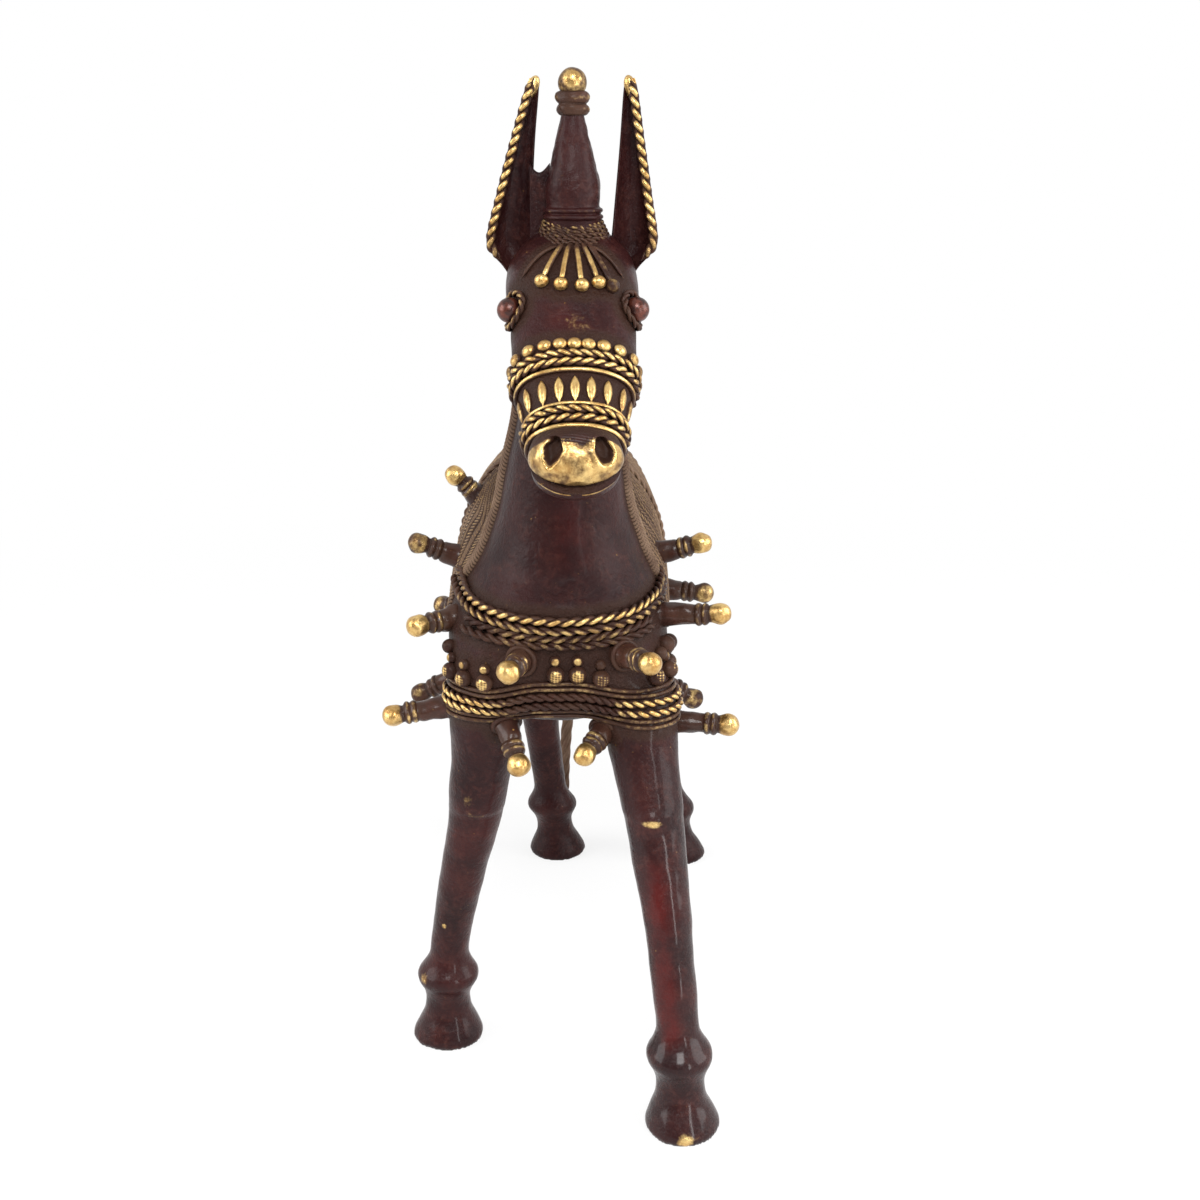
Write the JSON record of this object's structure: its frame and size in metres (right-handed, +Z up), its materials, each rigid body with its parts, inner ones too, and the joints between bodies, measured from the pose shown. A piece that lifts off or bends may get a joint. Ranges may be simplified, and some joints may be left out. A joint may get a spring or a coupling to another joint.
{
  "type": "horse figurine",
  "caption": "Standing cast brass horse with twisted-thread collars, beaded nosebands, upright ears, a crest and short ball-ended pegs; a free-standing ornament.",
  "frame": {"origin": "on the floor, under the centre of the horse's outline box", "axes": "+Z up, the horse faces -Y, its own left side is +X"},
  "size_m": [0.0848, 0.1788, 0.2324],
  "materials": {
    "patina_brass": "dark maroon patina with a worn gloss",
    "rubbed_brass": "dark in the hollows, rubbed bright on the high spots",
    "bright_brass": "polished",
    "thread_brass": "dull, covered with fine cast threads",
    "eye_brass": "red-brown, glossy",
    "clay": "fired clay left inside the casting"
  },
  "bodies": {
    "root": {"body_shell": "patina_brass", "neck": "patina_brass", "head": "patina_brass", "lower_lip": "patina_brass", "left_ear": "patina_brass", "right_ear": "patina_brass", "crest_cone": "patina_brass", "left_fore_leg": "patina_brass", "right_fore_leg": "patina_brass", "left_hind_leg": "patina_brass", "right_hind_leg": "patina_brass", "clay_core": "clay", "muzzle": "bright_brass", "crest_ball": "bright_brass", "left_eye": "eye_brass", "right_eye": "eye_brass", "mane": "thread_brass", "saddle_cloth": "thread_brass", "poll_coil": "thread_brass", "tail": "thread_brass", "left_eye_rim": "rubbed_brass", "right_eye_rim": "rubbed_brass", "left_ear_rope": "rubbed_brass", "right_ear_rope": "rubbed_brass", "forehead_fringe": "rubbed_brass", "noseband_upper_rope_1": "rubbed_brass", "noseband_upper_rope_2": "rubbed_brass", "noseband_upper_wire": "rubbed_brass", "noseband_petal_wire": "rubbed_brass", "noseband_lower_rope_1": "rubbed_brass", "noseband_lower_rope_2": "rubbed_brass", "noseband_lower_wire": "rubbed_brass", "collar_rope_1": "rubbed_brass", "collar_rope_2": "rubbed_brass", "collar_rope_3": "rubbed_brass", "collar_rope_4": "rubbed_brass", "breast_wire_1": "rubbed_brass", "breast_wire_2": "rubbed_brass", "breast_rope_1": "rubbed_brass", "breast_rope_2": "rubbed_brass", "breast_wire_3": "rubbed_brass", "breast_wire_4": "rubbed_brass", "saddle_cloth_front_rope": "rubbed_brass", "saddle_cloth_rear_rope": "rubbed_brass", "crest_collar": "rubbed_brass", "right_front_peg": "rubbed_brass", "left_front_peg": "rubbed_brass", "right_chest_peg": "rubbed_brass", "left_chest_peg": "rubbed_brass", "right_shoulder_peg": "rubbed_brass", "left_shoulder_peg": "rubbed_brass", "right_withers_peg": "rubbed_brass", "left_withers_peg": "rubbed_brass", "right_back_peg": "rubbed_brass", "right_flank_peg": "rubbed_brass", "left_flank_peg": "rubbed_brass", "right_fore_peg": "rubbed_brass", "left_fore_peg": "rubbed_brass", "right_girth_peg": "rubbed_brass", "left_girth_peg": "rubbed_brass"}
  },
  "joints": []
}
